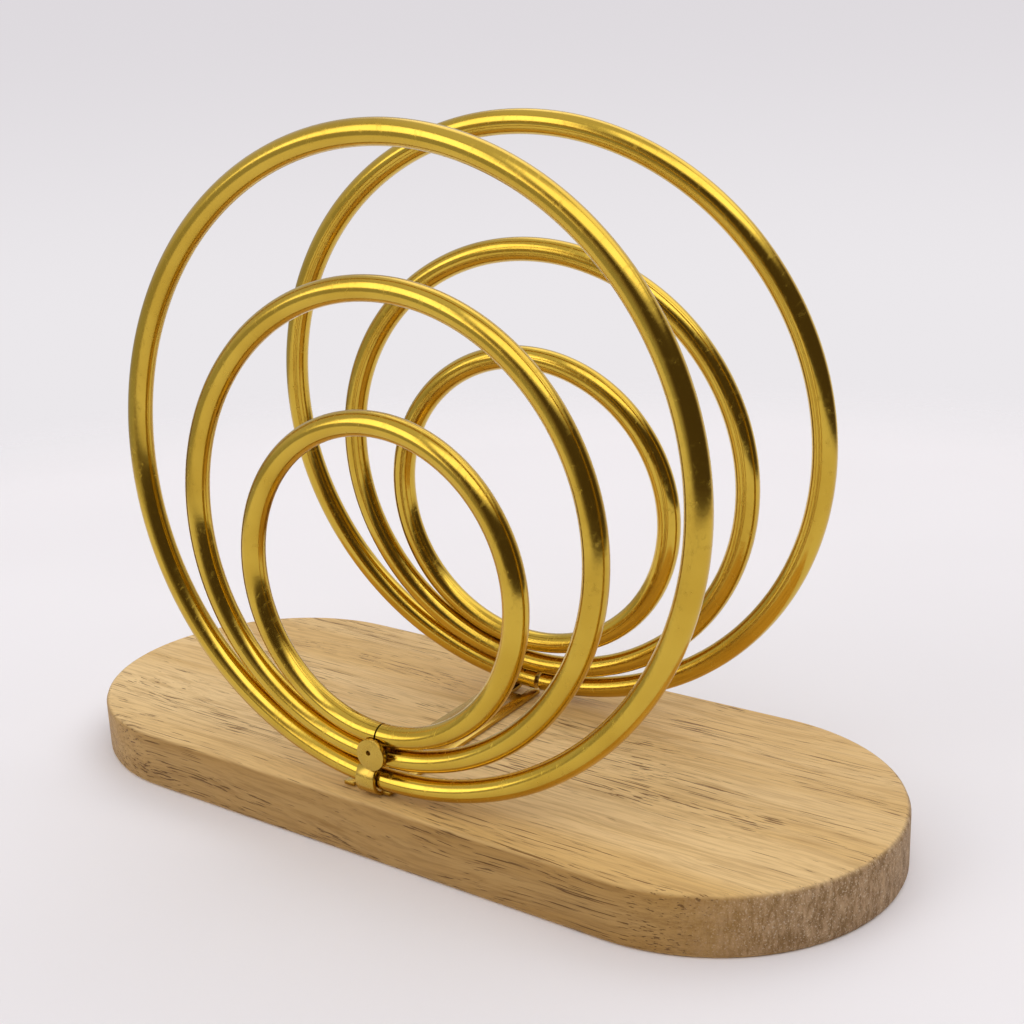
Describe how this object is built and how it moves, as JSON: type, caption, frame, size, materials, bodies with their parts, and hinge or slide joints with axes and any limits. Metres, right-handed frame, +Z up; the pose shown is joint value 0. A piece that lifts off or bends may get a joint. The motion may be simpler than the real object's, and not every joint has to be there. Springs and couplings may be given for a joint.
{
  "type": "napkin holder",
  "caption": "Table holder for napkins or letters: upright fans of nested metal tube rings face each other over a slot, clipped by a bent strip to a flat wooden board with round ends.",
  "frame": {"origin": "centre of the board's underside, on the table", "axes": "+X along the board's length, +Y across the board from the front fan to the rear fan, +Z up"},
  "size_m": [0.188, 0.0766, 0.1377],
  "materials": {
    "board": "fine sanded, matte, unvarnished",
    "tube": "polished and clear-lacquered",
    "strip": "satin, clear-lacquered",
    "pin": "plain drawn wire",
    "fixing": "zinc-plated"
  },
  "bodies": {
    "root": {"base_board": "board", "saddle_strip": "strip", "ring_disc_front": "strip", "ring_disc_rear": "strip", "ring_front_large": "tube", "ring_front_medium": "tube", "ring_front_small": "tube", "ring_rear_large": "tube", "ring_rear_medium": "tube", "ring_rear_small": "tube", "seam_pin_front_large": "pin", "seam_pin_front_medium": "pin", "seam_pin_front_small": "pin", "seam_pin_rear_large": "pin", "seam_pin_rear_medium": "pin", "seam_pin_rear_small": "pin", "strip_stud_front": "fixing", "strip_stud_rear": "fixing", "stud_washer_front": "fixing", "stud_washer_rear": "fixing", "stud_nut_front": "fixing", "stud_nut_rear": "fixing"}
  },
  "joints": []
}
